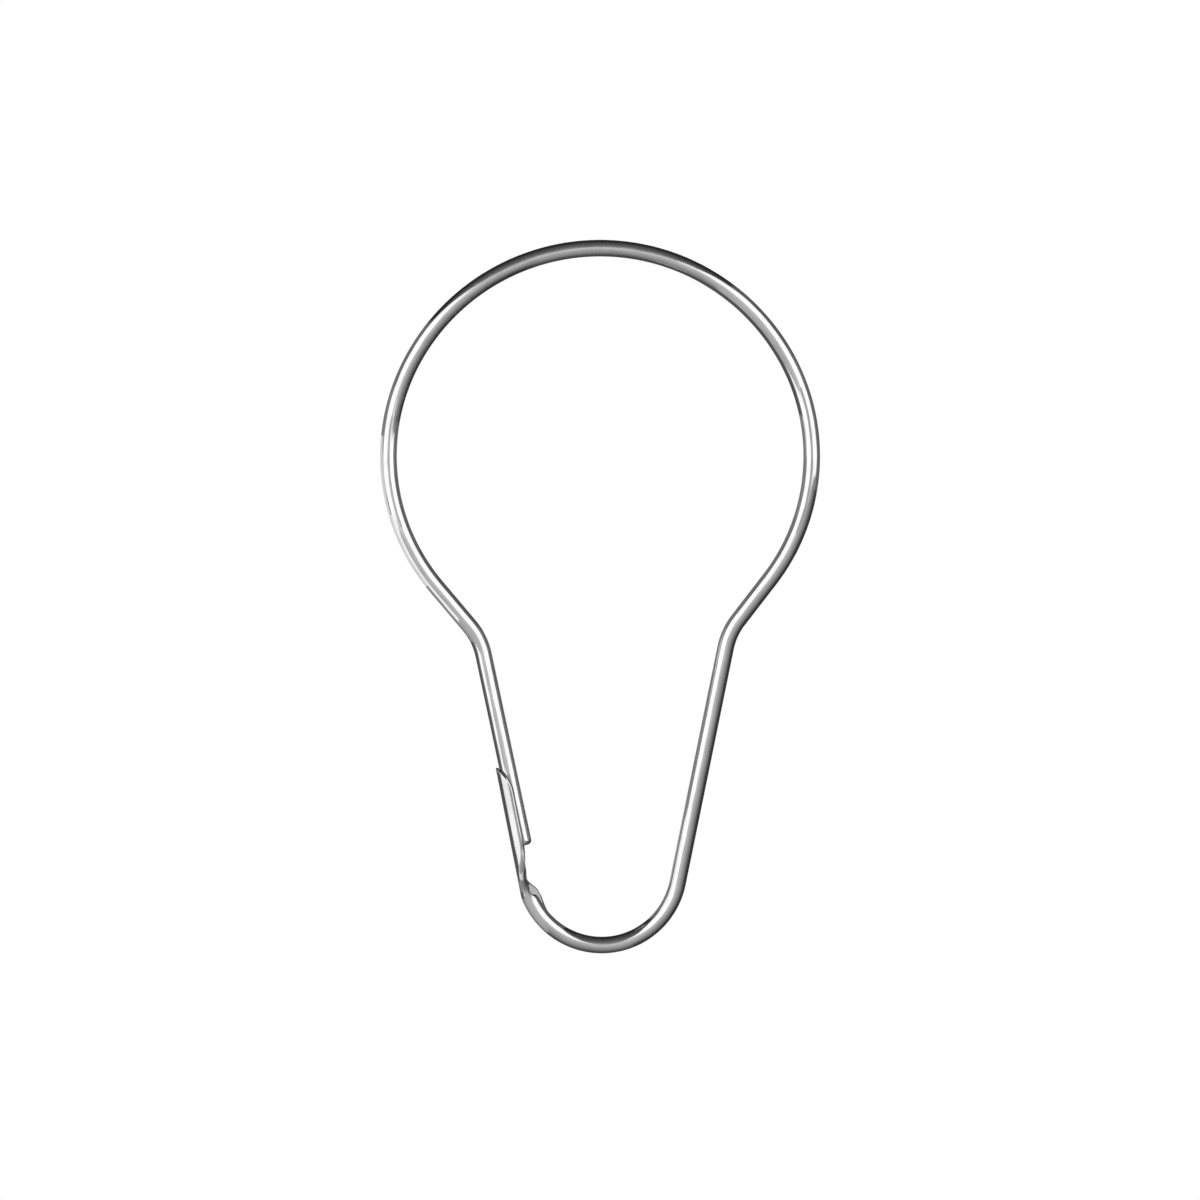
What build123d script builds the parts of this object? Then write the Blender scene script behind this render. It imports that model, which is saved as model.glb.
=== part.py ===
from build123d import *
import os
from math import acos, cos, degrees, pi, radians, sin, sqrt

# Shower curtain ring: one length of steel wire, bent to a pear shape. A straight pin springs into a clasp.
# The ring hangs in the XZ plane. The origin is the centre of the crown, and the rod passes through along Y.

# Driving dimensions, in millimetres and degrees.
# Bend radii are those of the wire's centreline, and leans are measured from the vertical.
wire_diameter = 1.65
overall_height = 70.0

# Loop over the rod
crown_radius = 20.9
crown_half_span = 60.0
side_radius = 19.85
flank_straight = 5.0
left_flank_lean = 40.2
right_flank_lean = 37.7
neck_radius = 6.6

# Free end of the wire
pin_lean = 12.0
pin_length = 19.1
pin_end_round = 0.45

# Right leg and the bend that carries the curtain's eyelet
leg_lean = 11.55
bottom_radius = 7.6
heel_radius = 2.4

# Clasp: distances along it are measured from the end of the heel
clasp_lean = 11.2
clasp_grip = 8.0
shoulder_length = 1.5
thin_start = 2.2
thinned_at = 4.8
rolled_at = 4.6
widened_at = 5.8
tip_length = 2.4
tip_fullness = 1.7
bar_thickness = 0.9
bar_half_width = 1.25
web_thickness = 0.3
lip_thickness = 0.42
strip_half_width = 1.8
edge_squareness = 1.25
bevel_share = 0.5
pin_clearance = 0.04

# Fineness of the clasp's sections
side_points = 10
body_steps = 30
body_crowding = 1.3
tip_steps = 6
almost_flat = 1e-6

wire_radius = wire_diameter / 2
clasp_offset = web_thickness + pin_clearance
channel_radius = wire_radius + pin_clearance + web_thickness / 2


def straight(after, length):
    """Straight run that carries on from the end of a bend."""
    return Line(after @ 1, after @ 1 + (after % 1) * length)


def bend(after, radius, turn):
    """Tangent bend that carries on from the end of a run. A positive turn is anticlockwise from the front."""
    return JernArc(after @ 1, after % 1, radius, turn)


def blend(distance, start, end):
    """Smooth step from 0 to 1 between two distances."""
    x = min(max((distance - start) / (end - start), 0), 1)
    return x * x * (3 - 2 * x)


def mix(low, high, share):
    """Value at a share of the way from low to high."""
    return low + (high - low) * share


# Centreline, drawn flat from the crown down both sides
crown = CenterArc((0, 0), crown_radius, 90 - crown_half_span, 2 * crown_half_span)

left_side = bend(crown, side_radius, 90 - crown_half_span + left_flank_lean)
left_flank = straight(left_side, flank_straight)
left_neck = bend(left_flank, neck_radius, pin_lean - left_flank_lean)
pin = straight(left_neck, pin_length)

right_side = JernArc(crown @ 0, -(crown % 0), side_radius, crown_half_span - 90 - right_flank_lean)
right_flank = straight(right_side, flank_straight)
right_neck = bend(right_flank, neck_radius, right_flank_lean - leg_lean)

# The right leg runs down until the bottom bend that follows it reaches the overall height.
bottom_level = crown_radius + wire_diameter - overall_height
leg_drop = (right_neck @ 1).Y - bottom_level - bottom_radius * (1 - sin(radians(leg_lean)))
leg = straight(right_neck, leg_drop / cos(radians(leg_lean)))

# The heel is a tight bend into the clasp, which runs up the pin's outer side and closes on it at the tip.
bottom_centre = leg @ 1 + (leg % 1).rotate(Axis.Z, -90) * bottom_radius
pin_outward = (pin % 1).rotate(Axis.Z, -90)
clasp_tip = pin @ 1 - (pin % 1) * clasp_grip + pin_outward * clasp_offset
upward = Vector(0, 1).rotate(Axis.Z, clasp_lean)
inward = upward.rotate(Axis.Z, -90)
clasp_reach = (bottom_centre - clasp_tip).dot(inward)
heel_turn = degrees(acos((clasp_reach - heel_radius) / (bottom_radius - heel_radius)))
bottom = bend(leg, bottom_radius, heel_turn + leg_lean + clasp_lean - 180)
heel = bend(bottom, heel_radius, -heel_turn)
clasp_length = (clasp_tip - heel @ 1).dot(upward)

runs = [pin, left_neck, left_flank, left_side, crown, right_side, right_flank, right_neck, leg, bottom, heel]
centreline = Plane.XZ * Wire(runs)

# Round wire, with the pin's end rounded over
wire = sweep((centreline ^ 0) * Circle(wire_radius), centreline)
pin_end = Plane.XZ.from_local_coords(pin @ 1)
pin_rim = wire.edges().filter_by(GeomType.CIRCLE).sort_by_distance(pin_end)[0]
wire = fillet(pin_rim, pin_end_round)

clasp_start = Plane.XZ.from_local_coords(heel @ 1)
clasp_along = Plane.XZ.from_local_coords(upward)
clasp_inward = Plane.XZ.from_local_coords(inward)


def clasp_half_section(distance):
    """Front half of the clasp's section, square to the wire, at a distance from the heel.

    The round wire is pressed to a flat bar with bevelled edges at the shoulder. The bar is thinned and rolled
    up along both edges into a channel that fits the pin, and its width runs out in a rounded tip.
    """
    pressed = blend(distance, 0, shoulder_length)
    thinned = blend(distance, thin_start, thinned_at)
    rolled = blend(distance, 0, rolled_at)
    widened = blend(distance, shoulder_length, widened_at)
    into_tip = max(0, (distance - clasp_length + tip_length) / tip_length)

    half_thick = mix(mix(wire_diameter, bar_thickness, pressed), web_thickness, thinned) / 2
    half_width = mix(mix(wire_radius, bar_half_width, pressed), strip_half_width, widened)
    half_width = max(half_width * (1 - into_tip**tip_fullness) ** (1 / tip_fullness), half_thick)
    fullness = 2 + edge_squareness * (half_width / half_thick - 1)
    bevel = bevel_share * pressed
    curvature = max(rolled / channel_radius, almost_flat)

    def side(sense, lip_growth):
        """Spline from the front edge to the middle, on the inner (+1) or the outer (-1) side."""
        spacing = [k / side_points for k in range(side_points + 1)]
        points = []
        for fraction in spacing:
            share = cos(pi / 2 * fraction)
            across = -half_width * share
            height = half_thick + lip_growth * (across / strip_half_width) ** 2
            height = height * (1 - bevel * blend(-across, half_width - height, half_width))
            rise = sense * height * sqrt(1 - share**fullness)
            turn = curvature * across
            x = half_thick - wire_radius + (1 - cos(turn)) / curvature + rise * cos(turn)
            y = sin(turn) / curvature - rise * sin(turn)
            points.append(Vector(x, y))
        edge_height = (half_thick + lip_growth * (half_width / strip_half_width) ** 2) * (1 - bevel)
        edge_speed = sense * pi / 2 * edge_height * sqrt(fullness / 2)
        edge_tangent = Vector(cos(curvature * half_width), sin(curvature * half_width)) * edge_speed
        middle_tangent = Vector(0, pi / 2 * half_width * (1 - sense * curvature * half_thick))
        return Edge.make_spline(points, [edge_tangent, middle_tangent], parameters=spacing, scale=False)

    inner = side(1, 0)
    outer = side(-1, (lip_thickness - web_thickness) * thinned)
    square = Plane(clasp_start + clasp_along * distance, x_dir=clasp_inward, z_dir=clasp_along)
    return square * make_face([inner, outer, Line(inner @ 1, outer @ 1)])


# Stations are closer towards the heel and towards the tip, where the last one leaves a narrow flat end.
body_length = clasp_length - tip_length
stations = [body_length * (k / body_steps) ** body_crowding for k in range(body_steps)]
stations += [body_length + tip_length * sin(pi / 2 * k / tip_steps) for k in range(tip_steps)]
front_half = loft([clasp_half_section(distance) for distance in stations])
clasp = front_half + mirror(front_half, Plane.XZ)

curtain_ring = wire + clasp

os.makedirs("parts", exist_ok=True)
export_step(curtain_ring, "parts/curtain_ring.step")
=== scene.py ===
from math import acos, cos, degrees, pi, radians, sin, sqrt

import bmesh
import bpy
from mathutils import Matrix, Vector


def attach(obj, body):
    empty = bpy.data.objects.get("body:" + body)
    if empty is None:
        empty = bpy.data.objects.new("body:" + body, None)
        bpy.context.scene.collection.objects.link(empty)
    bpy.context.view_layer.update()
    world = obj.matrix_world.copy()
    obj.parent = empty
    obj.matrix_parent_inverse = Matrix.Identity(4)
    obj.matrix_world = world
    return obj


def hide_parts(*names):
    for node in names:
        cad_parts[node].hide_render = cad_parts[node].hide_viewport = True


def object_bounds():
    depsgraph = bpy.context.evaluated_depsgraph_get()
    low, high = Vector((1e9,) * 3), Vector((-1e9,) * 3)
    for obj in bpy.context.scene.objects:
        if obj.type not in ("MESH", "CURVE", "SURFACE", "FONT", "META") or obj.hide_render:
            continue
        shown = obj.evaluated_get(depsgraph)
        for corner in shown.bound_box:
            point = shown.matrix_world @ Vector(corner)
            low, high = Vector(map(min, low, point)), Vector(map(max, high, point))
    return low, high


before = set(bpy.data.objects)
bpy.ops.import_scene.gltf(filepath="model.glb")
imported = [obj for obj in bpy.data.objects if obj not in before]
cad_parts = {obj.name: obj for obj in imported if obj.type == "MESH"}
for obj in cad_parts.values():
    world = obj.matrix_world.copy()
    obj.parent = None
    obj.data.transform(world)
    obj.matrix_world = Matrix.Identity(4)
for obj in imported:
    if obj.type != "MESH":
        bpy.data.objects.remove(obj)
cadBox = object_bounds()
scene = bpy.context.scene
mm = 0.001

# Curtain ring: millimetres and degrees, as in the CAD.
# Leans are from the vertical, and radii are those of the wire's centreline.
ring = {
    "wireDiameter": 1.65,
    "overallHeight": 70.0,
    "crownRadius": 20.9,
    "crownHalfSpan": 60.0,
    "sideRadius": 19.85,
    "flankStraight": 5.0,
    "leftFlankLean": 40.2,
    "rightFlankLean": 37.7,
    "neckRadius": 6.6,
    "pinLean": 12.0,
    "pinLength": 19.1,
    "pinEndRound": 0.45,
    "pinEndPoint": 0.001,   # the point that closes the pin's end stands this far out
    "pinEndClear": 0.05,    # least room between the end's last ring and the next one
    "legLean": 11.55,
    "bottomRadius": 7.6,
    "heelRadius": 2.4,
    "bendStep": 1.2,        # degrees between rings on a bend
    "straightStep": 0.5,    # between rings on a straight run
    "claspStep": 0.06,
    "endRings": 12,         # rings over the rounded pin end and over the clasp's tip
    "sides": 112,
    "lipDensity": 0.5,      # closes up the points round a section towards its two edges
}

# Clasp: distances are from the end of the heel
clasp = {
    "claspLean": 11.2,
    "claspGrip": 8.0,
    "shoulderLength": 1.5,
    "thinStart": 2.2,
    "thinnedAt": 4.8,
    "rolledAt": 4.6,
    "widenedAt": 5.8,
    "tipLength": 2.4,
    "tipFullness": 1.7,
    "barThickness": 0.9,
    "barHalfWidth": 1.25,
    "webThickness": 0.3,
    "lipThickness": 0.42,
    "stripHalfWidth": 1.8,
    "edgeSquareness": 1.25,
    "bevelShare": 0.5,
    "pinClearance": 0.04,
    "pressFrom": -1.0,      # edge of the press on the inner side, which leaves a rib in the middle
    "pressTo": 0.2,
    "pressRound": 0.08,
    "ribHeight": 0.24,
    "ribInner": 0.16,       # half thickness of the rib at its top and at its foot
    "ribOuter": 0.38,
    "paintedShadeOuter": 0.53,      # the painted shade beside the rib ends here, from the middle
    "ribFrom": -2.8,        # the rib grows along the bend and runs out up the clasp
    "ribFull": -0.8,
    "ribGone": 1.25,
}


def walk(place, heading, moves):
    # moves are (radius, turn) for a bend and (None, length) for a straight run, in the ring's plane
    points = [place]
    for radius, amount in moves:
        x, z = points[-1]
        if radius is None:
            steps = max(2, round(amount / ring["straightStep"]))
            for k in range(1, steps + 1):
                reach = amount * k / steps
                points.append((x + reach * cos(radians(heading)), z + reach * sin(radians(heading))))
        else:
            arm = radius if amount > 0 else -radius
            centreX = x - arm * sin(radians(heading))
            centreZ = z + arm * cos(radians(heading))
            steps = max(4, round(abs(amount) / ring["bendStep"]))
            for k in range(1, steps + 1):
                now = radians(heading + amount * k / steps)
                points.append((centreX + arm * sin(now), centreZ - arm * cos(now)))
            heading += amount
    return points, heading


def wireRoute():
    # from the pin's end up the left side, over the crown, down the right leg and up the clasp
    crown, span = ring["crownRadius"], ring["crownHalfSpan"]
    wireRadius = ring["wireDiameter"] / 2

    leftEnd = (crown * cos(radians(90 + span)), crown * sin(radians(90 + span)))
    left, pinHeading = walk(leftEnd, 180 + span, [
        (ring["sideRadius"], 90 - span + ring["leftFlankLean"]),
        (None, ring["flankStraight"]),
        (ring["neckRadius"], ring["pinLean"] - ring["leftFlankLean"]),
        (None, ring["pinLength"]),
    ])
    over, _ = walk(leftEnd, span, [(crown, -2 * span)])
    down, legHeading = walk(over[-1], -span, [
        (ring["sideRadius"], span - 90 - ring["rightFlankLean"]),
        (None, ring["flankStraight"]),
        (ring["neckRadius"], ring["rightFlankLean"] - ring["legLean"]),
    ])

    bottomRadius, heelRadius = ring["bottomRadius"], ring["heelRadius"]
    bottomLevel = crown + ring["wireDiameter"] - ring["overallHeight"]
    lean = radians(ring["legLean"])
    legDrop = down[-1][1] - bottomLevel - bottomRadius * (1 - sin(lean))
    leg, _ = walk(down[-1], legHeading, [(None, legDrop / cos(lean))])

    # the heel turns into the clasp's line, which runs up the pin's outer side and closes on it
    bottomX = leg[-1][0] - bottomRadius * cos(lean)
    bottomZ = leg[-1][1] + bottomRadius * sin(lean)
    pinX, pinZ = left[-1]
    rise = (-cos(radians(pinHeading)), -sin(radians(pinHeading)))
    gap = clasp["webThickness"] + clasp["pinClearance"]
    tipX = pinX + rise[0] * clasp["claspGrip"] - rise[1] * gap
    tipZ = pinZ + rise[1] * clasp["claspGrip"] + rise[0] * gap
    along = (-sin(radians(clasp["claspLean"])), cos(radians(clasp["claspLean"])))
    reach = (bottomX - tipX) * along[1] - (bottomZ - tipZ) * along[0]
    heelTurn = degrees(acos((reach - heelRadius) / (bottomRadius - heelRadius)))
    turned, _ = walk(leg[-1], legHeading, [
        (bottomRadius, heelTurn + ring["legLean"] + clasp["claspLean"] - 180),
        (heelRadius, -heelTurn),
    ])
    heelX, heelZ = turned[-1]
    clasp["claspLength"] = (tipX - heelX) * along[0] + (tipZ - heelZ) * along[1]

    # the pin's end: rings close up over its rounding, and each carries its share of the radius
    rounding, rings = ring["pinEndRound"], ring["endRings"]
    out = ring["pinEndPoint"]
    pinEnd = [(pinX - rise[0] * out, pinZ - rise[1] * out, 0)]
    for k in range(rings + 1):
        lift = rounding * (1 - cos(pi / 2 * k / rings))
        share = (wireRadius - rounding + rounding * sin(pi / 2 * k / rings)) / wireRadius
        pinEnd.append((pinX + rise[0] * lift, pinZ + rise[1] * lift, share))

    body = []
    for x, z in reversed(left):
        if (x - pinX) * rise[0] + (z - pinZ) * rise[1] > rounding + ring["pinEndClear"]:
            body.append((x, z, 1))
    body += [(x, z, 1) for x, z in over[1:] + down[1:] + leg[1:] + turned[1:]]

    # the clasp runs straight on, and its tip is rounded off over the last half thickness
    straightPart = clasp["claspLength"] - clasp["tipLength"]
    steps = round(straightPart / ring["claspStep"])
    stations = [(straightPart * k / steps, 1) for k in range(1, steps)]
    nose = clasp["webThickness"] / 2
    cut = clasp["claspLength"] - nose
    tipRings = round((cut - straightPart) / ring["claspStep"])
    stations += [(straightPart + (cut - straightPart) * k / tipRings, 1) for k in range(tipRings)]
    for k in range(rings + 1):
        stations.append((cut + nose * sin(pi / 2 * k / rings), cos(pi / 2 * k / rings)))
    tail = [(heelX + along[0] * d, heelZ + along[1] * d, share) for d, share in stations]
    return pinEnd + body + tail, len(pinEnd + body) - 1


route, heelIndex = wireRoute()
lengths = [0]
for before, after in zip(route, route[1:]):
    lengths.append(lengths[-1] + sqrt((after[0] - before[0]) ** 2 + (after[1] - before[1]) ** 2))
ring["claspStart"] = lengths[heelIndex]
ring["wireLength"] = lengths[-1]
print("wire route", len(route), "rings, length", round(ring["wireLength"], 2), "mm")
print("clasp from", round(ring["claspStart"], 2), "mm, long", round(clasp["claspLength"], 2), "mm")

routeCurve = bpy.data.curves.new("wireRoute", "CURVE")
routeCurve.dimensions = "3D"
spline = routeCurve.splines.new("POLY")
spline.points.add(len(route) - 1)
for point, (x, z, share) in zip(spline.points, route):
    point.co = (x * mm, 0, z * mm, 1)
    point.radius = share
former = bpy.data.objects.new("wireFormer", routeCurve)
scene.collection.objects.link(former)


def makeNode(tree, kind, inputs=None, output=0, **settings):
    # a new node with its settings and inputs; gives back one of its outputs
    made = tree.nodes.new(kind)
    for key, value in settings.items():
        setattr(made, key, value)
    for key, value in (inputs or {}).items():
        if isinstance(value, bpy.types.NodeSocket):
            tree.links.new(value, made.inputs[key])
        else:
            made.inputs[key].default_value = value
    return made.outputs[output]


def formingTree():
    # sweeps the section along the route, and past the heel presses, thins and rolls it into the clasp
    almostFlat = 1e-3       # least curvature, per metre, so that it can be divided by
    mergeDistance = 2e-7    # closes the seam along the wire and the two ends
    tree = bpy.data.node_groups.new("wireForming", "GeometryNodeTree")
    sizes = ["claspStart", "wireLength", "wireRadius", "channelRadius", "lipDensity"]
    sizes += [name for name in clasp if name not in ("claspLean", "claspGrip", "pinClearance")]
    sockets = [("Route", "Geometry"), *((name, "Float") for name in sizes)]
    sockets += [("sides", "Int"), ("finish", "Material")]
    for name, kind in sockets:
        tree.interface.new_socket(name=name, in_out="INPUT", socket_type="NodeSocket" + kind)
    tree.interface.new_socket(name="Ring", in_out="OUTPUT", socket_type="NodeSocketGeometry")
    given = tree.nodes.new("NodeGroupInput").outputs

    def node(kind, inputs=None, output=0, **settings):
        return makeNode(tree, kind, inputs, output, **settings)

    def sums(operation, a, b=0.0):
        return node("ShaderNodeMath", {0: a, 1: b}, operation=operation)

    def add(a, b):
        return sums("ADD", a, b)

    def less(a, b):
        return sums("SUBTRACT", a, b)

    def times(a, b):
        return sums("MULTIPLY", a, b)

    def over(a, b):
        return sums("DIVIDE", a, b)

    def mix(low, high, share):
        return add(low, times(less(high, low), share))

    def blend(distance, start, end):
        limits = {"Value": distance, "From Min": start, "From Max": end}
        return node("ShaderNodeMapRange", limits, interpolation_type="SMOOTHSTEP")

    def captured(geometry, kind, value):
        keep = tree.nodes.new("GeometryNodeCaptureAttribute")
        keep.capture_items.new(kind, "Kept")
        tree.links.new(geometry, keep.inputs["Geometry"])
        tree.links.new(value, keep.inputs["Kept"])
        return keep.outputs["Geometry"], keep.outputs["Kept"]

    def stored(geometry, name, value, kind="FLOAT", domain="POINT"):
        inputs = {"Geometry": geometry, "Name": name, "Value": value}
        return node("GeometryNodeStoreNamedAttribute", inputs, data_type=kind, domain=domain)

    path = given["Route"]
    path, along = captured(path, "FLOAT", node("GeometryNodeSplineParameter", output="Length"))
    path, place = captured(path, "VECTOR", node("GeometryNodeInputPosition"))
    path, heading = captured(path, "VECTOR", node("GeometryNodeInputTangent"))
    path, endShare = captured(path, "FLOAT", node("GeometryNodeInputRadius"))
    circle = node("GeometryNodeCurveArc", {
        "Resolution": add(given["sides"], 1),
        "Radius": given["wireRadius"],
        "Sweep Angle": 2 * pi,
    })
    circle, around = captured(circle, "FLOAT", node("GeometryNodeSplineParameter", output="Factor"))
    swept = node("GeometryNodeCurveToMesh", {"Curve": path, "Profile Curve": circle})

    # how far the section is pressed, thinned, rolled and run out at this distance past the heel
    distance = less(along, given["claspStart"])
    pressed = blend(distance, 0.0, given["shoulderLength"])
    thinned = blend(distance, given["thinStart"], given["thinnedAt"])
    rolled = blend(distance, 0.0, given["rolledAt"])
    widened = blend(distance, given["shoulderLength"], given["widenedAt"])
    tipFrom = less(given["claspLength"], given["tipLength"])
    intoTip = sums("MAXIMUM", over(less(distance, tipFrom), given["tipLength"]), 0.0)
    intoTip = sums("MINIMUM", intoTip, 1.0)

    barHalf = times(given["barThickness"], 0.5)
    webHalf = times(given["webThickness"], 0.5)
    halfThick = mix(mix(given["wireRadius"], barHalf, pressed), webHalf, thinned)
    barWidth = mix(given["wireRadius"], given["barHalfWidth"], pressed)
    fullWidth = mix(barWidth, given["stripHalfWidth"], widened)
    tipLeft = less(1.0, sums("POWER", intoTip, given["tipFullness"]))
    tipShare = sums("POWER", tipLeft, over(1.0, given["tipFullness"]))
    halfWidth = sums("MAXIMUM", times(fullWidth, tipShare), halfThick)
    fullness = add(times(given["edgeSquareness"], less(over(halfWidth, halfThick), 1.0)), 2.0)
    curvature = sums("MAXIMUM", over(rolled, given["channelRadius"]), almostFlat)

    # one turn round the section: the front edge, the inner side, the back edge, the outer side
    even = times(around, 2 * pi)
    angle = less(even, times(times(given["lipDensity"], 0.5), sums("SINE", times(even, 2.0))))
    share = sums("COSINE", angle)
    sense = sums("SIGN", sums("SINE", angle))
    across = times(times(halfWidth, share), -1.0)
    outward = sums("LESS_THAN", sense, 0.0)
    fullLip = times(times(less(given["lipThickness"], given["webThickness"]), thinned), outward)
    lipShare = over(across, given["stripHalfWidth"])
    height = add(halfThick, times(fullLip, times(lipShare, lipShare)))
    aside = sums("ABSOLUTE", across)
    toEdge = blend(aside, less(halfWidth, height), halfWidth)
    # edge bevels the clasp's edges; the finish also paints them dark, partly a dull cut edge and
    # partly a painted dark reflection line
    edge = times(toEdge, pressed)
    height = times(height, less(1.0, times(given["bevelShare"], edge)))
    rest = sums("MAXIMUM", less(1.0, sums("POWER", sums("ABSOLUTE", share), fullness)), 0.0)
    rise = times(times(sense, height), sums("SQRT", rest))

    # on the inner side the press stops short at the heel and leaves a rib that runs on down the bend;
    # the rib's faces and the pressed inner side are marked for painted shade, a dark tone in the
    # crease
    inside = less(1.0, outward)
    struck = blend(distance, given["pressFrom"], given["pressTo"])
    cut = less(mix(times(given["wireRadius"], 2.0), given["barThickness"], struck), halfThick)
    flat = node("ShaderNodeMath", {0: rise, 1: cut, 2: given["pressRound"]}, operation="SMOOTH_MIN")
    grown = blend(distance, given["ribFrom"], given["ribFull"])
    ribbed = times(grown, less(1.0, blend(distance, given["ribFull"], given["ribGone"])))
    onRib = less(1.0, blend(aside, given["ribInner"], given["ribOuter"]))
    inner = mix(flat, add(rise, times(given["ribHeight"], ribbed)), onRib)
    rise = mix(rise, inner, inside)
    squeezed = times(grown, less(1.0, blend(distance, given["ribGone"], given["shoulderLength"])))
    ribShadeMask = less(1.0, blend(aside, given["ribOuter"], given["paintedShadeOuter"]))
    ribShadeMask = sums("MAXIMUM", ribShadeMask, struck)
    # the rib and the pressed inner side join the edge mask: painted shade in the crease
    edge = sums("MAXIMUM", edge, times(times(squeezed, inside), ribShadeMask))

    # the strip is rolled round the pin, across its width
    turn = times(curvature, across)
    middle = less(halfThick, given["wireRadius"])
    bowed = over(less(1.0, sums("COSINE", turn)), curvature)
    inward = add(add(middle, bowed), times(rise, sums("COSINE", turn)))
    sideways = less(over(sums("SINE", turn), curvature), times(rise, sums("SINE", turn)))

    # the two ends close to a point about the section's middle line
    inward = mix(middle, inward, endShare)
    sideways = times(sideways, endShare)

    split = node("ShaderNodeSeparateXYZ", {0: heading}).node.outputs
    offset = node("ShaderNodeCombineXYZ", {
        "X": times(split["Z"], inward),
        "Y": sideways,
        "Z": times(times(split["X"], inward), -1.0),
    })
    landed = node("ShaderNodeVectorMath", {0: place, 1: offset}, operation="ADD")
    formed = node("GeometryNodeSetPosition", {"Geometry": swept, "Position": landed})

    # what the finish reads: the place on the wire, how far it is pressed, and a mask for painted
    # shade on the clasp's edges and the rib
    wrap = node("ShaderNodeCombineXYZ", {"X": over(along, given["wireLength"]), "Y": around})
    mapped = stored(formed, "wireMap", wrap, "FLOAT2", "CORNER")
    worked = stored(mapped, "pressed", pressed)
    edgeShadeStored = stored(worked, "edge", edge)
    closed = node("GeometryNodeMergeByDistance", {"Geometry": edgeShadeStored, "Distance": mergeDistance})
    smooth = node("GeometryNodeSetShadeSmooth", {"Geometry": closed, "Shade Smooth": True})
    real = node("GeometryNodeRealizeInstances", {"Geometry": smooth})
    finished = node("GeometryNodeSetMaterial", {"Geometry": real, "Material": given["finish"]})
    tree.links.new(finished, tree.nodes.new("NodeGroupOutput").inputs["Ring"])
    return tree


# Bright plate on drawn wire
plate = {
    "tone": (0.80, 0.80, 0.805),
    "toneLow": (0.70, 0.70, 0.705),
    "toneRange": (0.30, 0.62),          # of the patches, from the low tone to the other
    "edgeShadeTone": (0.34, 0.34, 0.345),    # the plate is thin and dull on the clasp's bevelled edges; this tone also paints a dark reflection line there and shade on the rib
    "roughness": 0.05,          # the least
    "roughnessSpread": 0.10,
    "patchWear": 0.6,           # shares of the patches and the lines in that spread
    "lineWear": 0.4,
    "pressedRoughness": 0.05,   # more on the clasp
    "drawLines": 0.12,          # bump of the lines that drawing leaves along the wire
    "dieMarks": 0.10,           # bump of the press's marks on the clasp
    "rippleStrength": 0.25,
    "rippleDepth": 0.04,        # of the lines and marks together, in millimetres
    "waveDepth": 0.03,          # slow unevenness of the bent wire, in millimetres
    # noises: stretch along the wire, scale, detail, roughness
    "lines": (0.05, 9.0, 4.0, 0.6),
    "patches": (0.5, 0.9, 3.0, 0.55),
    "marks": (1.6, 5.0, 3.0, 0.6),
    "waves": (0.35, 0.8, 1.0, 0.4),
}


def emptyMaterial(name):
    material = bpy.data.materials.new(name)
    material.use_nodes = True
    material.node_tree.nodes.clear()
    return material, material.node_tree


def platedWire():
    material, tree = emptyMaterial("platedWire")

    def node(kind, inputs=None, output=0, **settings):
        return makeNode(tree, kind, inputs, output, **settings)

    def sums(operation, a, b=0.0, c=0.0):
        return node("ShaderNodeMath", {0: a, 1: b, 2: c}, operation=operation)

    def times(a, b):
        return sums("MULTIPLY", a, b)

    # place on the wire in millimetres, wrapped round so that no seam shows
    spot = node("ShaderNodeUVMap", uv_map="wireMap")
    split = node("ShaderNodeSeparateXYZ", {0: spot}).node.outputs
    along = times(split["X"], ring["wireLength"])
    angle = times(split["Y"], 2 * pi)
    radius = ring["wireDiameter"] / 2
    roundX = times(sums("COSINE", angle), radius)
    roundY = times(sums("SINE", angle), radius)

    def noise(name):
        stretch, scale, detail, roughness = plate[name]
        place = {"X": times(along, stretch), "Y": roundX, "Z": roundY}
        return node("ShaderNodeTexNoise", {
            "Vector": node("ShaderNodeCombineXYZ", place),
            "Scale": scale,
            "Detail": detail,
            "Roughness": roughness,
        })

    def tinted(share, low, high):
        return node("ShaderNodeMix", {0: share, 6: low, 7: high}, 2, data_type="RGBA")

    formed = node("ShaderNodeAttribute", output="Fac", attribute_name="pressed")
    edge = node("ShaderNodeAttribute", output="Fac", attribute_name="edge")
    lines, patches, marks, waves = (noise(name) for name in ("lines", "patches", "marks", "waves"))

    low, high = plate["toneRange"]
    toneShare = node("ShaderNodeMapRange", {"Value": patches, "From Min": low, "From Max": high})
    tone = tinted(toneShare, (*plate["toneLow"], 1), (*plate["tone"], 1))
    # painted shade: the edge mask darkens the clasp's edges to a dull cut edge with a painted dark
    # reflection line, and shades the rib beside the crease
    tone = tinted(edge, tone, (*plate["edgeShadeTone"], 1))

    worn = sums("ADD", times(patches, plate["patchWear"]), times(lines, plate["lineWear"]))
    shine = sums("MULTIPLY_ADD", worn, plate["roughnessSpread"], plate["roughness"])
    shine = sums("ADD", shine, times(formed, plate["pressedRoughness"]))

    drawn = times(lines, plate["drawLines"])
    ripple = sums("ADD", drawn, times(times(marks, formed), plate["dieMarks"]))
    uneven = node("ShaderNodeBump", {
        "Height": waves,
        "Strength": 1.0,
        "Distance": plate["waveDepth"] * mm,
    })
    bump = node("ShaderNodeBump", {
        "Height": ripple,
        "Strength": plate["rippleStrength"],
        "Distance": plate["rippleDepth"] * mm,
        "Normal": uneven,
    })
    surface = node("ShaderNodeBsdfPrincipled", {
        "Base Color": tone,
        "Metallic": 1.0,
        "Roughness": shine,
        "Normal": bump,
    })
    tree.links.new(surface, tree.nodes.new("ShaderNodeOutputMaterial").inputs["Surface"])
    return material


finish = platedWire()
print("finish ready")

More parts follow.
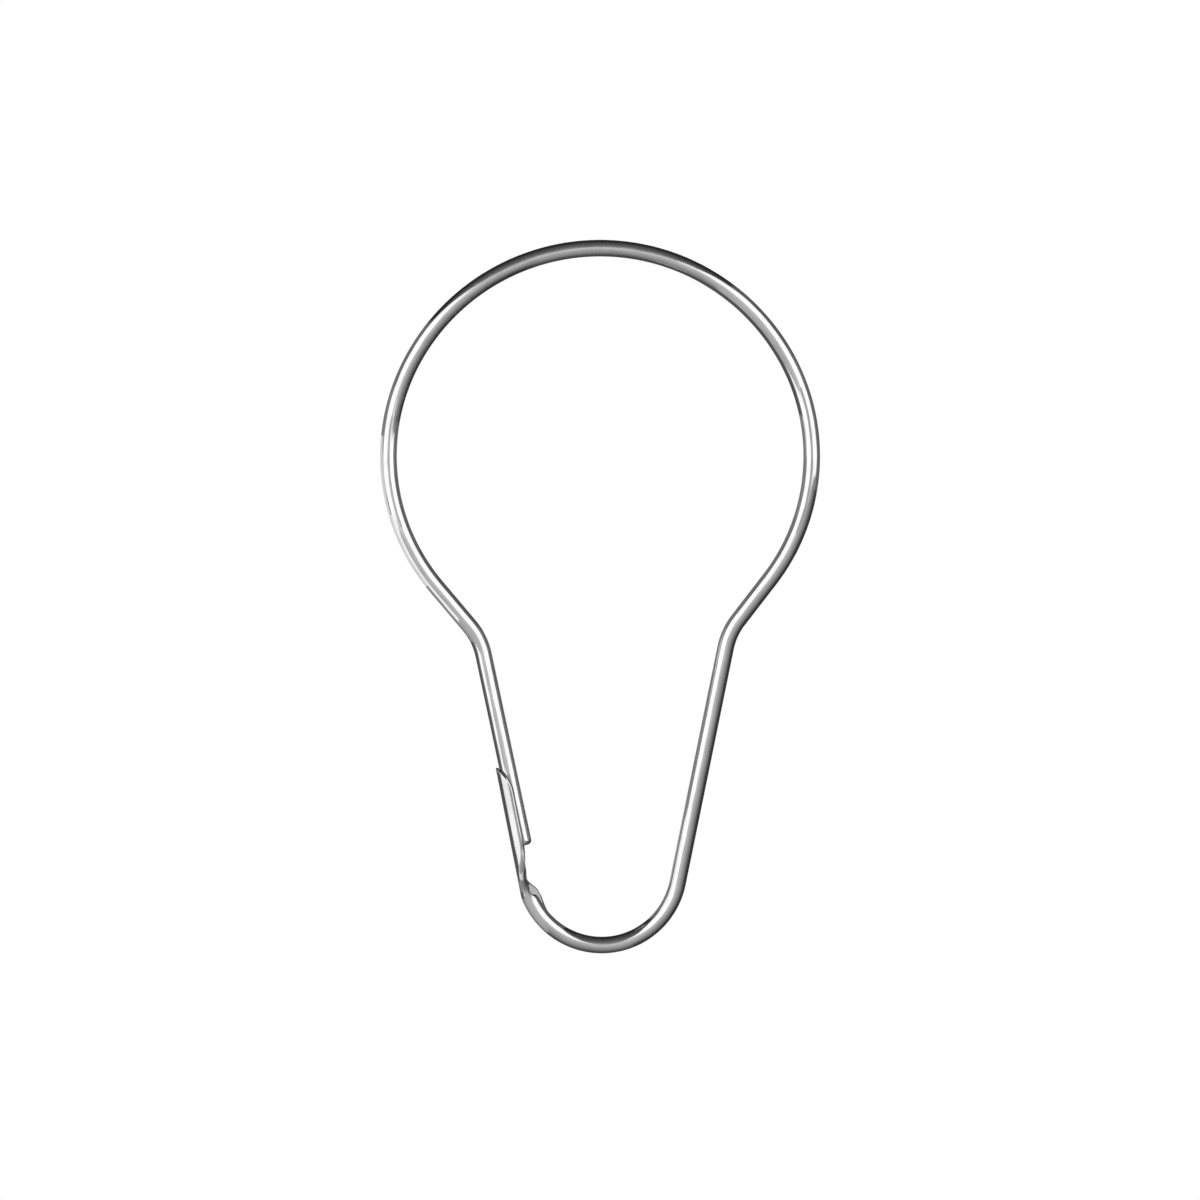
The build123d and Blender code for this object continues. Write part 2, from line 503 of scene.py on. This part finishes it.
forming = formingTree()
modifier = former.modifiers.new("forming", "NODES")
modifier.node_group = forming
wireRadius = ring["wireDiameter"] / 2
plainNumbers = ("edgeSquareness", "tipFullness", "bevelShare")
values = {
    **{name: clasp[name] if name in plainNumbers else clasp[name] * mm for name in clasp},
    "claspStart": ring["claspStart"] * mm,
    "wireLength": ring["wireLength"] * mm,
    "wireRadius": wireRadius * mm,
    "channelRadius": (wireRadius + clasp["pinClearance"] + clasp["webThickness"] / 2) * mm,
    "lipDensity": ring["lipDensity"],
    "sides": ring["sides"],
    "finish": finish,
}
for item in forming.interface.items_tree:
    if item.in_out == "INPUT" and item.name in values:
        modifier[item.identifier] = values[item.name]

depsgraph = bpy.context.evaluated_depsgraph_get()
ringMesh = bpy.data.meshes.new_from_object(former.evaluated_get(depsgraph))
former.modifiers.remove(modifier)
bpy.data.objects.remove(former)

shaped = bmesh.new()
shaped.from_mesh(ringMesh)
openEdges = sum(1 for edge in shaped.edges if not edge.is_manifold)
volume = shaped.calc_volume(signed=True) / mm**3
if volume < 0:
    bmesh.ops.reverse_faces(shaped, faces=shaped.faces)
    shaped.to_mesh(ringMesh)
shaped.free()
ringMesh.name = "curtainRing"
curtainRing = bpy.data.objects.new("curtainRing", ringMesh)
scene.collection.objects.link(curtainRing)
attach(curtainRing, "root")
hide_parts("curtain_ring")
print("ring", len(ringMesh.polygons), "faces, open edges", openEdges)
print("volume", round(volume, 2), "mm3, maps", list(ringMesh.uv_layers.keys()))

# Studio: a white surround, a pale floor, and a tent of plain panels that only reflections see.
# Sizes are in metres.
studio = {
    "floorDrop": 0.06,      # floor below the ring
    "floorColour": (0.86, 0.86, 0.86),
    "floorReach": 6.0,
    "shadowFrom": 0.06,     # the floor is plain white from the second distance on
    "shadowTo": 0.19,
    "shadowWhite": 0.6,
    "tentRadius": 0.8,
    "tentLayer": 0.005,     # between one panel and the next
    "tentLevel": -0.0137,   # height of the tent's middle, that of the ring
    "panelColumns": 24,
    "panelRows": 12,
    "cardDistance": 0.006,
    "straightReach": 1.0,   # the bend that stands for the straight clasp
    "ambient": 0.45,
    "keyPower": 6.0,
    "keySize": 0.7,
    "keyPlace": (-0.25, -0.35, 0.75),
    "keyTilt": 25,
    "keyTurn": -35,
}

# panels, nearest first: name, turn about the view line from the right at the near and the far end,
# angle from the camera, brightness at the near and the far end
panels = [
    ("front", (0, 360), (0, 360), (0, 10), (0.62, 0.62)),
    ("leftBox", (116, 186), (137, 204), (10, 70), (1.32, 1.32)),
    ("rightBox", (0, 75), (-2, 52), (10, 70), (1.32, 1.32)),
    ("rear", (0, 360), (0, 360), (160, 180), (0.85, 0.85)),
    ("leftSlab", (176, 188), (176, 188), (66, 176), (0.75, 0.55)),
    ("leftSide", (158, 177), (158, 177), (66, 176), (0.30, 0.18)),
    ("leftGap", (186, 206), (186, 206), (66, 100), (0.40, 0.09)),
    ("leftGapRear", (186, 206), (186, 206), (100, 176), (0.09, 0.12)),
    ("upperLeft", (138, 160), (138, 160), (60, 176), (0.16, 0.25)),
    ("lowerLeft", (180, 234), (180, 234), (10, 95), (0.56, 0.42)),
    ("lowerLeftRear", (204, 234), (204, 234), (95, 176), (0.34, 0.08)),
    ("overhead", (55, 145), (55, 145), (10, 35), (0.38, 0.15)),
    ("overheadSide", (55, 145), (55, 145), (35, 92), (0.15, 0.03)),
    ("overheadRear", (55, 145), (55, 145), (92, 176), (0.03, 0.01)),
    ("rightRear", (-6, 32), (-6, 32), (110, 176), (0.14, 0.20)),
    ("rightSide", (-6, 34), (-6, 34), (60, 112), (0.30, 0.12)),
    ("upperRight", (32, 58), (32, 58), (60, 176), (0.19, 0.03)),
    ("table", (230, 290), (230, 290), (10, 95), (0.54, 0.13)),
    ("tableRear", (230, 290), (230, 290), (95, 176), (0.09, 0.05)),
    ("tableRight", (290, 365), (290, 365), (10, 90), (0.54, 0.06)),
    ("tableRightRear", (290, 355), (290, 355), (90, 176), (0.05, 0.02)),
]

# cards that follow the loop's bends close by, so that little else on the ring reflects them:
# name, bend, turn about its middle, angle round the wire from the camera, brightness
bendCards = [
    ("flankCard", "left", (196, 229), (48, 84), 1.1),
    ("edgeCard", "left", (174, 218), (84, 150), 0.8),
    ("leftLine", "left", (168, 200), (-18, 12), 0.56),
    ("rightLine", "right", (-22, 20), (-14, 14), 0.46),
    ("innerEdge", "crown", (14, 60), (-160, -78), 0.10),
    ("innerEdgeLow", "crown", (-5, 14), (-160, -84), 0.25),
]

# cards along the clasp: name, distance from the heel in millimetres, angle, brightness
claspCards = [
    ("claspCard", (3.2, 12.0), (24, 80), 1.15),
    ("lipCard", (3.2, 11.6), (-16, 24), 0.40),
]


def emitting(name):
    material, tree = emptyMaterial(name)
    material.cycles.emission_sampling = "NONE"
    level = makeNode(tree, "ShaderNodeAttribute", output="Color", attribute_name="level")
    glow = makeNode(tree, "ShaderNodeEmission", {"Color": level})
    tree.links.new(glow, tree.nodes.new("ShaderNodeOutputMaterial").inputs["Surface"])
    return material


panelGlow = emitting("tentPanel")


def tentPanel(name, near, far, leans, levels, hub, reach, radius):
    # patch of a ball round the hub, seen from its inside; with a reach, it follows such a bend
    columns, rows = studio["panelColumns"], studio["panelRows"]

    def between(ends, j):
        return ends[0] + (ends[1] - ends[0]) * j / rows

    spots, shades = [], []
    for j in range(rows + 1):
        lean = radians(between(leans, j))
        first, last = between((near[0], far[0]), j), between((near[1], far[1]), j)
        aside, depth = reach + radius * sin(lean), -radius * cos(lean)
        for i in range(columns + 1):
            turn = radians(first + (last - first) * i / columns)
            spots.append((hub[0] + aside * cos(turn), depth, hub[1] + aside * sin(turn)))
            shades.append(between(levels, j))
    faces = []
    for j in range(rows):
        for i in range(columns):
            a = j * (columns + 1) + i
            faces.append((a, a + 1, a + columns + 2, a + columns + 1))
    mesh = bpy.data.meshes.new(name)
    mesh.from_pydata(spots, [], faces)
    layer = mesh.attributes.new("level", "FLOAT_COLOR", "POINT")
    for k, shade in enumerate(shades):
        layer.data[k].color = (shade, shade, shade, 1)
    mesh.materials.append(panelGlow)
    panel = bpy.data.objects.new(name, mesh)
    scene.collection.objects.link(panel)
    for ray in ("camera", "diffuse", "transmission", "volume_scatter", "shadow"):
        setattr(panel, "visible_" + ray, False)


tentMiddle = (0, studio["tentLevel"])
for order, (name, near, far, leans, levels) in enumerate(panels):
    radius = studio["tentRadius"] + studio["tentLayer"] * order
    tentPanel(name + "Panel", near, far, leans, levels, tentMiddle, 0, radius)

# bends: middle and radius
span = radians(ring["crownHalfSpan"])
shift = ring["crownRadius"] - ring["sideRadius"]
bends = {
    "crown": (0, 0, ring["crownRadius"]),
    "left": (-shift * sin(span), shift * cos(span), ring["sideRadius"]),
    "right": (shift * sin(span), shift * cos(span), ring["sideRadius"]),
}
cardGap = studio["cardDistance"]
for name, bend, turns, leans, shade in bendCards:
    x, z, reach = (size * mm for size in bends[bend])
    tentPanel(name, turns, turns, leans, (shade, shade), (x, z), reach, cardGap)

# the clasp is straight, which is a bend of a very large radius
wide = studio["straightReach"]
faceTurn = 180 + clasp["claspLean"]
lean = radians(clasp["claspLean"])
heelX, heelZ, _ = route[heelIndex]
for name, (start, end), leans, shade in claspCards:
    middle, half = (start + end) / 2, degrees((end - start) / 2 * mm / wide)
    hub = (
        (heelX - middle * sin(lean)) * mm - wide * cos(radians(faceTurn)),
        (heelZ + middle * cos(lean)) * mm - wide * sin(radians(faceTurn)),
    )
    turns = (faceTurn - half, faceTurn + half)
    tentPanel(name, turns, turns, leans, (shade, shade), hub, wide, cardGap)
print("tent of", len(panels), "panels and", len(bendCards) + len(claspCards), "cards")


def seenDirectly(tree):
    # 1 for what the camera, a reflection or glass shows, 0 for the light that falls on things
    path = tree.nodes.new("ShaderNodeLightPath").outputs
    seen = path["Is Camera Ray"]
    for ray in ("Is Glossy Ray", "Is Transmission Ray"):
        seen = makeNode(tree, "ShaderNodeMath", {0: seen, 1: path[ray]}, operation="MAXIMUM")
    return seen


world = bpy.data.worlds.new("studio")
scene.world = world
world.use_nodes = True
sky = world.node_tree
sky.nodes.clear()
strength = makeNode(sky, "ShaderNodeMapRange", {
    "Value": seenDirectly(sky),
    "To Min": studio["ambient"],
    "To Max": 1.0,
})
surround = makeNode(sky, "ShaderNodeBackground", {"Color": (1, 1, 1, 1), "Strength": strength})
sky.links.new(surround, sky.nodes.new("ShaderNodeOutputWorld").inputs["Surface"])

# the floor keeps the ring's shadow near the middle and fades to plain white
floorMaterial, ground = emptyMaterial("paleFloor")
spot = makeNode(ground, "ShaderNodeTexCoord", output="Object")
flat = makeNode(ground, "ShaderNodeMapping", {"Vector": spot, "Scale": (1, 1, 0)})
away = makeNode(ground, "ShaderNodeVectorMath", {0: flat}, "Value", operation="LENGTH")
fade = makeNode(ground, "ShaderNodeMapRange", {
    "Value": away,
    "From Min": studio["shadowFrom"],
    "From Max": studio["shadowTo"],
    "To Min": studio["shadowWhite"],
    "To Max": 1.0,
}, interpolation_type="SMOOTHSTEP")
share = makeNode(ground, "ShaderNodeMath", {0: seenDirectly(ground), 1: fade}, operation="MULTIPLY")
matt = makeNode(ground, "ShaderNodeBsdfDiffuse", {"Color": (*studio["floorColour"], 1)})
white = makeNode(ground, "ShaderNodeEmission", {"Color": (1, 1, 1, 1)})
paleFloor = makeNode(ground, "ShaderNodeMixShader", {0: share, 1: matt, 2: white})
ground.links.new(paleFloor, ground.nodes.new("ShaderNodeOutputMaterial").inputs["Surface"])

floorMesh = bpy.data.meshes.new("floor")
reach = studio["floorReach"]
level = cadBox[0][2] - studio["floorDrop"]
corners = [(-reach, -reach), (reach, -reach), (reach, reach), (-reach, reach)]
floorMesh.from_pydata([(x, y, level) for x, y in corners], [], [(0, 1, 2, 3)])
floorMesh.materials.append(floorMaterial)
floor = bpy.data.objects.new("floor", floorMesh)
scene.collection.objects.link(floor)
floor.visible_glossy = False

lampData = bpy.data.lights.new("keySoftbox", "AREA")
lampData.size = studio["keySize"]
lampData.energy = studio["keyPower"]
lamp = bpy.data.objects.new("keySoftbox", lampData)
lamp.location = studio["keyPlace"]
lamp.rotation_euler = (radians(studio["keyTilt"]), 0, radians(studio["keyTurn"]))
lamp.visible_camera = False
lamp.visible_glossy = False
scene.collection.objects.link(lamp)

# Camera: square on, level with the middle of the ring; the frame and the aim are in millimetres
view = {"lens": 100.0, "sensor": 36.0, "frameWidth": 117.72, "aimX": -0.012, "aimZ": -13.608}
cameraData = bpy.data.cameras.new("camera")
cameraData.lens = view["lens"]
cameraData.sensor_width = view["sensor"]
camera = bpy.data.objects.new("camera", cameraData)
cameraDistance = view["frameWidth"] * mm * view["lens"] / view["sensor"]
camera.location = (view["aimX"] * mm, -cameraDistance, view["aimZ"] * mm)
camera.rotation_euler = (pi / 2, 0, 0)
scene.collection.objects.link(camera)
scene.camera = camera
scene.view_settings.view_transform = "Standard"
print("studio and camera set")
